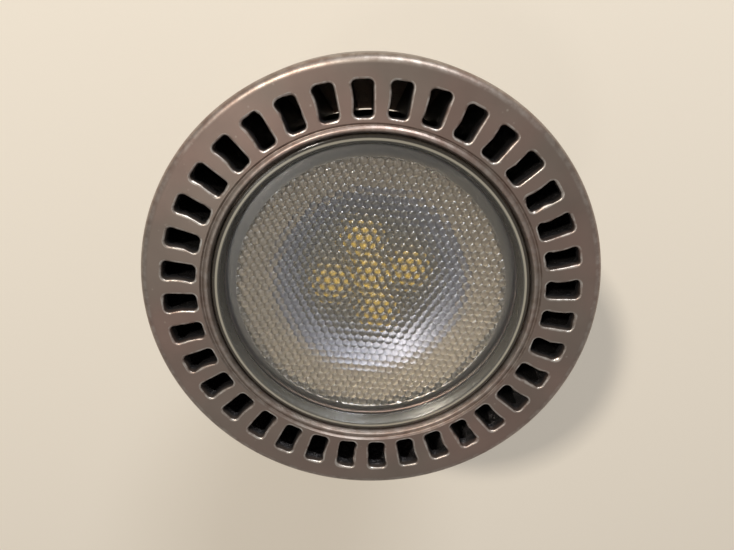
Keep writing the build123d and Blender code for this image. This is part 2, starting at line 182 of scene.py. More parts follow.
class BaseSizes(bpy.types.PropertyGroup):
    """Sizes of the moulded base and its two contact pins"""

    block_length: length("Block length", "Length of the pin block", 17.0 * MM)
    block_width: length("Block width", "Width of the pin block", 11.5 * MM)
    block_height: length("Block height", "Height of the pin block", 10.5 * MM)
    block_edge: length("Block edge", "Bevel round the block's lower edge", 0.8 * MM)
    shoulder_foot: length("Shoulder foot", "Radius at which the shoulder leaves the block", 9.3 * MM)
    shoulder_height: length("Shoulder", "Height of the shoulder", 3.0 * MM)
    flange_radius: length("Flange", "Radius of the flange under the neck", 13.0 * MM)
    flange_height: length("Flange height", "Height of the flange", 1.5 * MM)
    wall: length("Wall", "Wall of the block and the collar", 1.2 * MM)
    floor: length("Floor", "Thickness of the block's floor", 2.0 * MM)
    collar_radius: length("Collar", "Radius of the collar inside the cup", 10.4 * MM)
    collar_height: length("Collar height", "Height of the collar above the flange", 4.0 * MM)
    pin_spacing: length("Pin spacing", "Distance between the two pins", 10.0 * MM)
    pin_length: length("Pin length", "How far a pin stands out of the block", 7.0 * MM)
    pin_head: length("Pin head", "Radius of a pin's head", 2.5 * MM)
    pin_head_height: length("Head height", "Height of a pin's head", 3.0 * MM)
    pin_neck: length("Pin neck", "Radius of a pin's neck", 1.6 * MM)
    pin_shank: length("Pin shank", "Radius of a pin inside the block", 1.3 * MM)
    pin_gap: length("Pin gap", "Gap round a pin in its hole", 0.05 * MM)
    rivet_radius: length("Rivet", "Radius of a pin's rivet on the block's floor", 2.2 * MM)
    rivet_height: length("Rivet height", "Height of a pin's rivet", 0.6 * MM)
    pin_tail: length("Pin tail", "Length of a pin above its rivet", 2.0 * MM)


class LampFinishes(bpy.types.PropertyGroup):
    """Colours of the lamp's finishes"""

    casting: colour("Casting", "Satin lacquer of the casting", (0.228, 0.180, 0.150))
    # Pale bare metal for the worn edges, which also carries a painted highlight on them
    worn_edge_and_highlight: colour("Worn edge", "Bare metal and painted highlight at the casting's edges", (0.72, 0.68, 0.62))
    dust: colour("Dust", "Specks of dust on the casting", (0.62, 0.57, 0.50))
    # Painted shade: near-black metal inside the vents
    vent_shade: colour("Vent", "Painted shade on the rough metal inside the vents", (0.07, 0.065, 0.065))
    # The liner's tones are painted: a sky reflection on the steep cone, a warm reflection on the shallow
    # cone, and shade below the margin
    liner_steep_painted_sky: colour("Steep cone", "Liner round the light sources", (0.21, 0.21, 0.25))
    liner_shallow_painted_warmth: colour("Shallow cone", "Liner below the pebbled field", (0.27, 0.22, 0.16))
    liner_edge_painted_shade: colour("Liner edge", "Liner below the smooth margin", (0.105, 0.092, 0.075))
    board: colour("Light board", "Solder mask of the light board", (0.045, 0.036, 0.022))
    package: colour("Packages", "Ceramic packages of the light sources", (0.075, 0.055, 0.025))
    phosphor: colour("Phosphor", "Yellow phosphor of the light sources", (0.34, 0.215, 0.025))
    lens_clear: colour("Lens", "Clear plastic of the lens", (0.97, 0.97, 0.96))
    # Painted shade in the pebbles' valleys
    lens_valley_shade: colour("Lens valleys", "Painted shade on the clear plastic between the pebbles", (0.70, 0.68, 0.65))
    # The lens rim's tones are painted: shade on the rim and the bevel, and a highlight for the cream line
    lens_rim_shade: colour("Lens rim", "Raised rim of the lens", (0.055, 0.045, 0.034))
    lens_line_highlight: colour("Lens line", "Painted highlight line round the lens's rim", (0.42, 0.38, 0.30))
    lens_bevel_shade: colour("Lens bevel", "Bevel inside the lens's rim", (0.10, 0.092, 0.078))
    base: colour("Base", "Moulded base", (0.72, 0.70, 0.65))
    pin: colour("Pins", "Nickel-plated pins", (0.66, 0.64, 0.60))


class StudioSettings(bpy.types.PropertyGroup):
    """Floor, lights and camera"""

    floor: colour("Floor", "Plain pale floor", (0.740, 0.665, 0.565))
    floor_reach: length("Floor reach", "Half the floor's side", 1.5)
    key_power: power("Key", "Power of the key light", 2.1)
    key_size: length("Key size", "Side of the key light", 43 * MM)
    key_distance: length("Key distance", "Distance of the key light from the front ring", 0.6)
    key_tone: colour("Key tone", "Colour of the key light", (1.0, 0.95, 0.86))
    fill_power: power("Fill", "Power of the low fill", 1.2)
    fill_size: length("Fill size", "Side of the low fill", 140 * MM)
    fill_place: location("Fill place", "Where the low fill hangs", (0.10, 0.40, 0.26))
    fill_tone: colour("Fill tone", "Colour of the low fill", (0.90, 0.95, 1.0))
    top_power: power("Top", "Power of the top light", 0.12)
    top_size: length("Top size", "Side of the top light", 60 * MM)
    top_place: location("Top place", "Where the top light hangs", (-0.12, -0.06, 0.54))
    top_tone: colour("Top tone", "Colour of the top light", (1.0, 0.97, 0.92))
    sky: bpy.props.FloatProperty(name="Sky", description="Strength of the even sky", default=0.40, min=0)
    sky_tone: colour("Sky tone", "Colour of the even sky", (1.0, 0.985, 0.96))
    camera_place: location("Camera place", "Where the camera stands", (0, 26.9 * MM, 117.1 * MM))
    camera_turn: bpy.props.FloatVectorProperty(
        name="Camera turn", description="Turn of the camera from straight down",
        default=(math.radians(-21.26), math.radians(0.13), math.radians(-0.55)), subtype="EULER",
    )
    lens_length: bpy.props.FloatProperty(name="Camera lens", description="Focal length in mm", default=30.8)


# Plain helpers for sections and meshes


def heading(angle):
    """The direction at an angle."""
    return Vector((math.cos(angle), math.sin(angle)))


def bearing(way):
    """The angle of a direction."""
    return math.atan2(way.y, way.x)


def arc_through(first, middle, last, steps):
    """Points on the arc through three (radius, height) points, ends included."""
    (ax, ay), (bx, by), (cx, cy) = first, middle, last
    twice = 2 * (ax * (by - cy) + bx * (cy - ay) + cx * (ay - by))
    a, b, c = ax * ax + ay * ay, bx * bx + by * by, cx * cx + cy * cy
    x = (a * (by - cy) + b * (cy - ay) + c * (ay - by)) / twice
    y = (a * (cx - bx) + b * (ax - cx) + c * (bx - ax)) / twice
    radius = math.hypot(ax - x, ay - y)
    start, end = math.atan2(ay - y, ax - x), math.atan2(cy - y, cx - x)
    sweep = (end - start + math.pi) % math.tau - math.pi
    angles = [start + sweep * step / steps for step in range(steps + 1)]
    return [(x + radius * math.cos(angle), y + radius * math.sin(angle)) for angle in angles]


def soften(path, steps=3):
    """Rounds the corners of (radius, height, corner) points and holds the flats on each side."""
    out = []
    for index, (x, y, corner) in enumerate(path):
        point = Vector((x, y))
        if corner == 0 or index in (0, len(path) - 1):
            out.append((x, y))
            continue
        before = Vector(path[index - 1][:2]) - point
        after = Vector(path[index + 1][:2]) - point
        room = min(before.length, after.length)
        before.normalize()
        after.normalize()
        half = before.angle(after) / 2
        reach = min(corner / math.tan(half), 0.44 * room)
        radius = reach * math.tan(half)
        hold = min(0.04 * MM, 0.05 * room)
        centre = point + (before + after).normalized() * (radius / math.sin(half))
        start = point + before * reach - centre
        end = point + after * reach - centre
        first = math.atan2(start.y, start.x)
        sweep = (math.atan2(end.y, end.x) - first + math.pi) % math.tau - math.pi
        out.append(tuple(point + before * (reach + hold)))
        for step in range(steps + 1):
            angle = first + sweep * step / steps
            out.append((centre.x + radius * math.cos(angle), centre.y + radius * math.sin(angle)))
        out.append(tuple(point + after * (reach + hold)))
    return out


def sweep_section(bm, section, angles, close=False):
    """Faces between copies of a (radius, height) section at the given angles, as columns of points."""
    columns = []
    for angle in angles:
        cos, sin = math.cos(angle), math.sin(angle)
        columns.append([bm.verts.new((r * cos, r * sin, z)) for r, z in section])
    pairs = list(zip(columns, columns[1:]))
    if close:
        pairs.append((columns[-1], columns[0]))
    for left, right in pairs:
        for k in range(len(section) - 1):
            bm.faces.new((left[k], right[k], right[k + 1], left[k + 1]))
    return columns


def loop_edges(bm, points, close=True):
    """The edges along a row of points, made where they are missing."""
    ends = points[1:] + points[:1] if close else points[1:]
    return [bm.edges.get(pair) or bm.edges.new(pair) for pair in zip(points, ends)]


def ring_of_points(bm, centre, radius, z, count):
    """A circle of points at one height."""
    row = []
    for index in range(count):
        x, y = radius * heading(math.tau * index / count)
        row.append(bm.verts.new((centre[0] + x, centre[1] + y, z)))
    return row


def bridge(bm, lower, upper):
    """Faces between two closed rows with as many points."""
    count = len(lower)
    for k in range(count):
        after = (k + 1) % count
        bm.faces.new((lower[k], lower[after], upper[after], upper[k]))


def finish_mesh(bm, mesh, crease=35):
    """Merges doubled points, turns all faces outwards and shades smooth between the creases."""
    bmesh.ops.remove_doubles(bm, verts=bm.verts, dist=MERGE)
    bmesh.ops.recalc_face_normals(bm, faces=bm.faces)
    bm.to_mesh(mesh)
    bm.free()
    mesh.polygons.foreach_set("use_smooth", [True] * len(mesh.polygons))
    mesh.set_sharp_from_angle(angle=math.radians(crease))
    mesh.update()


def new_piece(name, data):
    """An object in the scene with this mesh, light or camera."""
    piece = bpy.data.objects.new(name, data)
    bpy.context.scene.collection.objects.link(piece)
    return piece


def piece_from(bm, name, material):
    """A finished piece from a bmesh, with its material on it."""
    mesh = bpy.data.meshes.new(name)
    finish_mesh(bm, mesh)
    mesh.materials.append(material)
    return new_piece(name, mesh)


def lathe(section, name, material, columns):
    """A turned piece from a closed (radius, height) section."""
    bm = bmesh.new()
    sweep_section(bm, section, [math.tau * k / columns for k in range(columns)], close=True)
    return piece_from(bm, name, material)


def grow(piece, tree, values):
    """Runs a node tree on a piece and leaves the plain result as its mesh."""
    modifier = piece.modifiers.new("Grow", "NODES")
    modifier.node_group = tree
    for item in tree.interface.items_tree:
        if item.item_type == "SOCKET" and item.in_out == "INPUT" and item.name in values:
            modifier[item.identifier] = values[item.name]
    bpy.context.view_layer.update()
    done = piece.evaluated_get(bpy.context.evaluated_depsgraph_get())
    mesh = bpy.data.meshes.new_from_object(done)
    piece.modifiers.remove(modifier)
    old, piece.data = piece.data, mesh
    bpy.data.meshes.remove(old)
    return piece


def dress(piece, node_name):
    """Lets a piece ride with the lamp in place of its CAD node."""
    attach(piece, "root")
    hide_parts(node_name)


def paint_node(name, material):
    """Puts a material on a CAD node that is shown as it is."""
    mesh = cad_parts[name].data
    if not mesh.materials:
        mesh.materials.append(material)
    for index in range(len(mesh.materials)):
        mesh.materials[index] = material


# Nodes


def join(tree, value, socket):
    """Links a socket to an input, or sets the input to a plain value."""
    if isinstance(value, bpy.types.NodeSocket):
        tree.links.new(value, socket)
    else:
        socket.default_value = value


def fill(tree, node, **named):
    """Links or sets a node's inputs by name, with _ for a space."""
    for label, value in named.items():
        join(tree, value, node.inputs[label.replace("_", " ")])
    return node


def put(tree, kind, operation=None, *values, **named):
    """A new node with its first inputs linked or set in order, and others by name."""
    node = tree.nodes.new(kind)
    if operation:
        node.operation = operation
    for socket, value in zip(node.inputs, values):
        join(tree, value, socket)
    return fill(tree, node, **named)


def math_node(tree, operation, *values):
    """A number step whose inputs are sockets or plain numbers."""
    return put(tree, "ShaderNodeMath", operation, *values).outputs[0]


def product(tree, value, *others):
    """The product of two or more values."""
    for other in others:
        value = math_node(tree, "MULTIPLY", value, other)
    return value


def vector_node(tree, operation, *values):
    """A vector step whose inputs are sockets or plain vectors."""
    outputs = put(tree, "ShaderNodeVectorMath", operation, *values).outputs
    return outputs["Value" if operation == "LENGTH" else "Vector"]


# Geometry node trees


def new_tree(name, **inputs):
    """A geometry tree with named inputs of the given kinds, and the sockets of its start."""
    tree = bpy.data.node_groups.new(name, "GeometryNodeTree")
    for label, kind in {"Geometry": "Geometry", **inputs, "Material": "Material"}.items():
        tree.interface.new_socket(label, in_out="INPUT", socket_type=f"NodeSocket{kind}")
    tree.interface.new_socket("Geometry", in_out="OUTPUT", socket_type="NodeSocketGeometry")
    return tree, put(tree, "NodeGroupInput").outputs


def finish_tree(tree, start, geometry_socket):
    """Ends a tree in Realize Instances and Set Material."""
    realize = put(tree, "GeometryNodeRealizeInstances", Geometry=geometry_socket)
    paint = put(tree, "GeometryNodeSetMaterial", Geometry=realize.outputs[0], Material=start["Material"])
    put(tree, "NodeGroupOutput", Geometry=paint.outputs[0])
    return tree


def sector_ring_tree():
    """Repeats one sector of the casting round the axis."""
    tree, start = new_tree("Sector Ring", Count="Int", Phase="Float")
    index = put(tree, "GeometryNodeInputIndex").outputs[0]
    step = math_node(tree, "DIVIDE", math.tau, start["Count"])
    turn = math_node(tree, "MULTIPLY_ADD", index, step, start["Phase"])
    spin = put(tree, "ShaderNodeCombineXYZ", Z=turn).outputs[0]
    points = put(tree, "GeometryNodePoints", Count=start["Count"]).outputs[0]
    ring = put(tree, "GeometryNodeInstanceOnPoints", Points=points, Instance=start["Geometry"], Rotation=spin)
    return finish_tree(tree, start, ring.outputs["Instances"])


def pebble_tree():
    """Raises a flat disc into close-packed round pebbles, and keeps how low in a valley each point lies."""
    tree, start = new_tree("Pebble Field", Pitch="Float", Crown="Float")
    pitch, crown = start["Pitch"], start["Crown"]
    half_pitch = product(tree, pitch, 0.5)
    half_row = product(tree, pitch, math.sqrt(3) / 2)
    high_cell = put(tree, "ShaderNodeCombineXYZ", X=half_pitch, Y=half_row, Z=1).outputs[0]
    low_cell = vector_node(tree, "MULTIPLY", high_cell, (-1, -1, -1))
    position = put(tree, "GeometryNodeInputPosition").outputs[0]
    flat = vector_node(tree, "MULTIPLY", position, (1, 1, 0))
    moved = vector_node(tree, "MULTIPLY", vector_node(tree, "ADD", flat, high_cell), (1, 1, 0))
    cells = [vector_node(tree, "WRAP", place, high_cell, low_cell) for place in (flat, moved)]
    near = math_node(tree, "MINIMUM", *[vector_node(tree, "LENGTH", cell) for cell in cells])
    near_square = product(tree, near, near)
    corner_square = math_node(tree, "DIVIDE", product(tree, pitch, pitch), 3.0)
    crown_square = product(tree, crown, crown)
    top, low = [
        math_node(tree, "SQRT", math_node(tree, "SUBTRACT", crown_square, square))
        for square in (near_square, corner_square)
    ]
    rise = put(tree, "ShaderNodeCombineXYZ", Z=math_node(tree, "SUBTRACT", top, low)).outputs[0]
    move = put(tree, "GeometryNodeSetPosition", Geometry=start["Geometry"], Offset=rise).outputs[0]
    valley = math_node(tree, "DIVIDE", near_square, corner_square)
    store = put(tree, "GeometryNodeStoreNamedAttribute", Geometry=move, Name="valley", Value=valley)
    return finish_tree(tree, start, store.outputs[0])


# Shader groups and materials


def shader_group(name, inputs, outputs):
    """A shader group with named number inputs and outputs, and the sockets of its start."""
    group = bpy.data.node_groups.new(name, "ShaderNodeTree")
    for label, value in inputs.items():
        group.interface.new_socket(label, in_out="INPUT", socket_type="NodeSocketFloat").default_value = value
    for label in outputs:
        group.interface.new_socket(label, in_out="OUTPUT", socket_type="NodeSocketFloat")
    return group, put(group, "NodeGroupInput").outputs


def noise_node(tree, place, scale, detail=2.0, roughness=0.5):
    """A noise value at a place."""
    node = put(tree, "ShaderNodeTexNoise", Vector=place, Scale=scale, Detail=detail, Roughness=roughness)
    return node.outputs[0]


def map_node(tree, value, low, high, new_low=0.0, new_high=1.0):
    """A value carried from one range to another and kept inside it."""
    node = put(tree, "ShaderNodeMapRange", None, value, low, high, new_low, new_high)
    node.clamp = True
    return node.outputs[0]


def grain_group():
    """Fine grain with broad cloudy change: a height, and a tone about 1."""
    if "Satin Grain" in bpy.data.node_groups:
        return bpy.data.node_groups["Satin Grain"]
    inputs = {"Grain Scale": 9000.0, "Cloud Scale": 160.0, "Cloud": 0.12}
    group, start = shader_group("Satin Grain", inputs, ["Height", "Tone"])
    place = put(group, "ShaderNodeTexCoord").outputs["Object"]
    fine = noise_node(group, place, start["Grain Scale"], 3.0, 0.6)
    cloud = noise_node(group, place, start["Cloud Scale"], 3.0, 0.55)
    spread = product(group, math_node(group, "SUBTRACT", cloud, 0.5), start["Cloud"])
    put(group, "NodeGroupOutput", Height=fine, Tone=math_node(group, "MULTIPLY_ADD", spread, 2.0, 1.0))
    return group


def dust_group():
    """Sparse pale specks in patches: a mask from 0 to 1."""
    group, start = shader_group("Light Dust", {"Speck Scale": 1400.0, "Amount": 0.5}, ["Mask"])
    place = put(group, "ShaderNodeTexCoord").outputs["Object"]
    specks = put(group, "ShaderNodeTexVoronoi", Vector=place, Scale=start["Speck Scale"])
    dots = map_node(group, specks.outputs["Distance"], 0.14, 0.05)
    patch = map_node(group, noise_node(group, place, 330.0, 3.0), 0.5, 0.62)
    put(group, "NodeGroupOutput", Mask=product(group, dots, patch, start["Amount"]))
    return group


def use_group(tree, group, **values):
    """A placed group with its own values."""
    node = tree.nodes.new("ShaderNodeGroup")
    node.node_tree = group
    return fill(tree, node, **values)


def new_material(name, base, roughness, **plain):
    """A material, its tree and its Principled shader with plain values set."""
    material = bpy.data.materials.new(name)
    material.use_nodes = True
    tree = material.node_tree
    shader = fill(tree, tree.nodes["Principled BSDF"], Base_Color=(*base, 1), Roughness=roughness, **plain)
    return material, tree, shader


def tint(tree, base, tone):
    """A colour multiplied by a tone socket."""
    return put(tree, "ShaderNodeVectorMath", "SCALE", base, Scale=tone).outputs["Vector"]


def blend_colour(tree, share, first, second):
    """A colour between two, each a socket or a plain colour."""
    node = tree.nodes.new("ShaderNodeMix")
    node.data_type = "RGBA"
    join(tree, share, node.inputs["Factor"])
    for socket, value in zip(node.inputs[6:8], (first, second)):
        join(tree, value if isinstance(value, bpy.types.NodeSocket) else (*value, 1), socket)
    return node.outputs[2]


def bump_node(tree, height, strength, distance, **under):
    """A bump from a height, on top of another normal where one is given."""
    node = put(tree, "ShaderNodeBump", Height=height, Strength=strength, Distance=distance, **under)
    return node.outputs[0]


def radius_node(tree):
    """The distance from the lamp's axis, the height and the whole place."""
    place = put(tree, "ShaderNodeTexCoord").outputs["Object"]
    x, y, z = put(tree, "ShaderNodeSeparateXYZ", None, place).outputs
    square = math_node(tree, "MULTIPLY_ADD", y, y, math_node(tree, "POWER", x, 2.0))
    return math_node(tree, "SQRT", square), z, place


def step_node(tree, value, middle, spread):
    """0 below a place, 1 above it, with a soft step between."""
    return map_node(tree, value, middle - spread, middle + spread)


def casting_material(finishes, cast):
    """Satin warm grey lacquer: fine on the face, worn at the edges with a painted highlight there, and rough
    inside the vents under painted shade.
    """
    base = tuple(finishes.casting)
    material, tree, shader = new_material("Satin Cast Lacquer", base, 0.40, Metallic=0.85)
    grain = use_group(tree, grain_group(), Grain_Scale=6500.0, Cloud_Scale=170.0, Cloud=0.20).outputs
    dust = use_group(tree, dust_group(), Speck_Scale=900.0, Amount=0.30).outputs["Mask"]
    radius, height, place = radius_node(tree)
    shell_low = FACE_Z - cast.shell_height
    # Mask for painted shade: the metal behind the shell and below the face, inside the vents
    wall = map_node(
        tree, height, shell_low, FACE_Z - cast.rim_height,
        cast.shell_edge_radius - 0.7 * cast.shell_wall, RIM_RADIUS - 0.7 * cast.shell_wall,
    )
    behind_shell = map_node(tree, math_node(tree, "SUBTRACT", wall, radius), 0, 0.2 * MM)
    outside_hub = step_node(tree, radius, cast.recess_radius + 0.4 * MM, 0.1 * MM)
    below_face = map_node(tree, height, FACE_Z - 0.3 * MM, FACE_Z - 0.9 * MM)
    above_edge = map_node(tree, height, shell_low - 0.5 * MM, shell_low + 2 * MM)
    vent_shade = product(tree, behind_shell, outside_hub, below_face, above_edge)

    # Worn edges with a painted highlight: the edge attribute lightens them, most at each slot's inner end
    wear_and_highlight_node = put(tree, "ShaderNodeAttribute")
    wear_and_highlight_node.attribute_name = "edge_wear"
    patchy = map_node(tree, noise_node(tree, place, 900.0, 4.0, 0.65), 0.38, 0.62)
    wear_and_highlight = product(tree, wear_and_highlight_node.outputs["Fac"], patchy)
    warm = map_node(tree, noise_node(tree, place, 90.0), 0.4, 0.62)
    pink = (base[0] * 1.10, base[1] * 0.98, base[2] * 0.98)
    body = blend_colour(tree, warm, tint(tree, base, grain["Tone"]), tint(tree, pink, grain["Tone"]))
    body = blend_colour(tree, wear_and_highlight, body, finishes.worn_edge_and_highlight)
    body = blend_colour(tree, dust, body, finishes.dust)
    # Painted shade darkens the metal inside the vents
    body = blend_colour(tree, vent_shade, body, finishes.vent_shade)
    rough = map_node(tree, vent_shade, 0, 1, 0.40, 0.34)
    rough = math_node(tree, "MULTIPLY_ADD", wear_and_highlight, -0.12, rough)

    deep = map_node(tree, height, FACE_Z - 0.35 * MM, FACE_Z - 1.5 * MM)
    rough_cast = product(tree, noise_node(tree, place, 2200.0, 4.0, 0.7), product(tree, deep, vent_shade))
    fine = bump_node(tree, grain["Height"], 0.22, 0.03 * MM)
    normal = bump_node(tree, rough_cast, 0.9, 0.4 * MM, Normal=fine)
    fill(tree, shader, Base_Color=body, Roughness=rough, Normal=normal)
    return material


def lens_material(finishes):
    """Clear moulded plastic with painted shade in the pebbles' valleys, that lets the lights' direct rays
    through.
    """
    material, tree, shader = new_material(
        "Clear Lens Plastic", finishes.lens_clear, 0.28,
        Transmission_Weight=1.0, IOR=PLASTIC_IOR, Coat_Weight=0.5, Coat_Roughness=0.04,
    )
    valley = put(tree, "ShaderNodeAttribute")
    valley.attribute_name = "valley"
    # Painted shade darkens the plastic towards the pebbles' valleys
    low = map_node(tree, valley.outputs["Fac"], 0.30, 0.95)
    fill(tree, shader, Base_Color=blend_colour(tree, low, finishes.lens_clear, finishes.lens_valley_shade))
    shadow_ray = put(tree, "ShaderNodeLightPath").outputs["Is Shadow Ray"]
    clear = put(tree, "ShaderNodeBsdfTransparent", Color=(0.85, 0.85, 0.84, 1))
    mix = put(tree, "ShaderNodeMixShader")
    for socket, value in zip(mix.inputs, (shadow_ray, shader.outputs[0], clear.outputs[0])):
        join(tree, value, socket)
    fill(tree, tree.nodes["Material Output"], Surface=mix.outputs[0])
    return material


def lens_rim_material(finishes, highlight_radius):
    """Half-clear plastic of the lens's raised rim, its tones painted: painted shade outside, a painted
    highlight line, then the bevel in painted shade.
    """
    base = tuple(finishes.lens_rim_shade)
    material, tree, shader = new_material(
        "Lens Rim Plastic", base, 0.14, Transmission_Weight=0.35, IOR=PLASTIC_IOR
    )
    tone = use_group(tree, grain_group(), Grain_Scale=5000.0, Cloud_Scale=240.0, Cloud=0.2).outputs["Tone"]
    radius, _, _ = radius_node(tree)
    # Painted shade outside and on the bevel, with a painted highlight line between them
    past_bevel = step_node(tree, radius, highlight_radius - 0.23 * MM, 0.04 * MM)
    outside = step_node(tree, radius, highlight_radius, 0.04 * MM)
    body = blend_colour(tree, past_bevel, finishes.lens_bevel_shade, finishes.lens_line_highlight)
    fill(tree, shader, Base_Color=blend_colour(tree, outside, body, tint(tree, base, tone)))
    return material


def reflector_material(finishes, step_radius, field_radius):
    """Metallised plastic with painted reflections: sky-grey on the steep cone, warm taupe on the shallow one,
    and painted shade below the margin.
    """
    material, tree, shader = new_material("Metallised Liner", finishes.liner_shallow_painted_warmth, 0.42, Metallic=0.9)
    grain = use_group(tree, grain_group(), Grain_Scale=5000.0, Cloud_Scale=300.0, Cloud=0.1).outputs
    radius, _, _ = radius_node(tree)
    steep = tint(tree, finishes.liner_steep_painted_sky, grain["Tone"])
    shallow = tint(tree, finishes.liner_shallow_painted_warmth, grain["Tone"])
    # Painted reflections by radius: sky on the steep cone, warmth on the shallow cone, then painted shade
    # below the margin
    body = blend_colour(tree, step_node(tree, radius, step_radius, 0.15 * MM), steep, shallow)
    body = blend_colour(tree, step_node(tree, radius, field_radius, 0.2 * MM), body, finishes.liner_edge_painted_shade)
    fill(tree, shader, Base_Color=body, Normal=bump_node(tree, grain["Height"], 0.1, 0.02 * MM))
    return material


def grained_material(name, base, roughness, metallic=0.0, grain_scale=6000.0, grain_depth=0.15, cloud=0.08):
    """A plain finish with fine grain and a little change of tone."""
    material, tree, shader = new_material(name, base, roughness, Metallic=metallic)
    grain = use_group(tree, grain_group(), Grain_Scale=grain_scale, Cloud_Scale=220.0, Cloud=cloud).outputs
    normal = bump_node(tree, grain["Height"], grain_depth, 0.03 * MM)
    fill(tree, shader, Base_Color=tint(tree, base, grain["Tone"]), Normal=normal)
    return material


# The casting


def slot_outline(ring):
    """One slot's outline in its sector as (place, direction into the metal) pairs."""
    start, end, corner = ring.slot_inner_radius, ring.slot_outer_radius, ring.slot_corner
    low_in, low_out = -ring.slot_inner_width / 2, -ring.slot_outer_width / 2
    middle = (start + end) / 2
    waist = (ring.slot_inner_width + ring.slot_outer_width) / 4 - ring.slot_waist
    slant = Vector((end - start, low_out - low_in)).normalized()
    away = Vector((slant.y, -slant.x))
    bow = arc_through((end, -low_out), (middle, waist), (start, -low_in), 2)
    chord = Vector(bow[0]) - Vector(bow[2])
    sagitta = (Vector(bow[0]) + Vector(bow[2])) / 2 - Vector(bow[1])
    bow_radius = (chord.length_squared / 4 + sagitta.length_squared) / (2 * sagitta.length)
    bow_centre = Vector(bow[1]) + sagitta.normalized() * bow_radius

    def corner_low(x):
        return Vector((x, low_in + (-corner - away.x * (x - start)) / away.y))

    def corner_high(x):
        return Vector((x, bow_centre.y - math.sqrt((bow_radius + corner) ** 2 - (x - bow_centre.x) ** 2)))

    out = []

    def turn(centre, first, last, steps=6):
        for step in range(steps + 1):
            towards = heading(first + (last - first) * step / steps)
            out.append((centre + towards * corner, towards))

    def run(target, steps):
        spot, towards = out[-1]
        out.extend((spot.lerp(target, step / steps), towards) for step in range(1, steps))

    low_start, low_end = corner_low(start + corner), corner_low(end - corner)
    high_start, high_end = corner_high(start + corner), corner_high(end - corner)
    slant_angle = bearing(away)
    turn(low_start, -math.pi, slant_angle)
    run(low_end + away * corner, 6)
    turn(low_end, slant_angle, 0)
    run(high_end + Vector((corner, 0)), 2)
    turn(high_end, 0, bearing(bow_centre - high_end))
    first, last = bearing(high_end - bow_centre), bearing(high_start - bow_centre)
    for step in range(1, 8):
        towards = heading(first + (last - first) * step / 8)
        out.append((bow_centre + towards * bow_radius, -towards))
    turn(high_start, bearing(bow_centre - high_start), math.pi)
    run(low_start - Vector((corner, 0)), 2)
    return out


def envelope(cast, inset, steps):
    """The reflector-shaped envelope from the rim's foot to the neck, as (radius, height) points."""
    top = (RIM_RADIUS - inset, FACE_Z - cast.rim_height)
    middle = (cast.shell_edge_radius - inset, FACE_Z - cast.shell_height)
    foot = (cast.neck_radius + cast.neck_step - inset, NECK_Z + cast.neck_height)
    return arc_through(top, middle, foot, steps)


